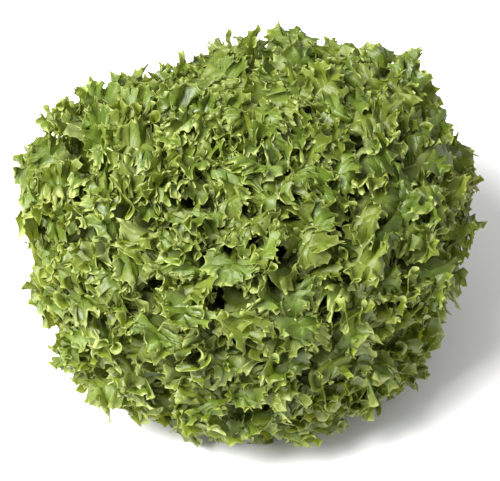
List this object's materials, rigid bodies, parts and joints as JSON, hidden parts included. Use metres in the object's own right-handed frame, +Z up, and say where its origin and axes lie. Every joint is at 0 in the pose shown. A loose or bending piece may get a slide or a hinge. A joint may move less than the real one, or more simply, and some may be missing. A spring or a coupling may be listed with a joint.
{
  "type": "lettuce head",
  "caption": "Dense dome-shaped frilly lettuce head with narrow, sharply toothed curly leaves on a short cut stem.",
  "frame": {"origin": "centre of the stem's flat cut face, on the surface that the head stands on", "axes": "+Z up through the head's growing point, -Y towards the front as pictured, +X to the viewer's right"},
  "size_m": [0.2744, 0.266, 0.1866],
  "materials": {
    "leaf": "waxy green leaf",
    "stem": "moist cut stem"
  },
  "bodies": {
    "root": {"leaf_head": "leaf", "cut_stem": "stem"}
  },
  "joints": []
}
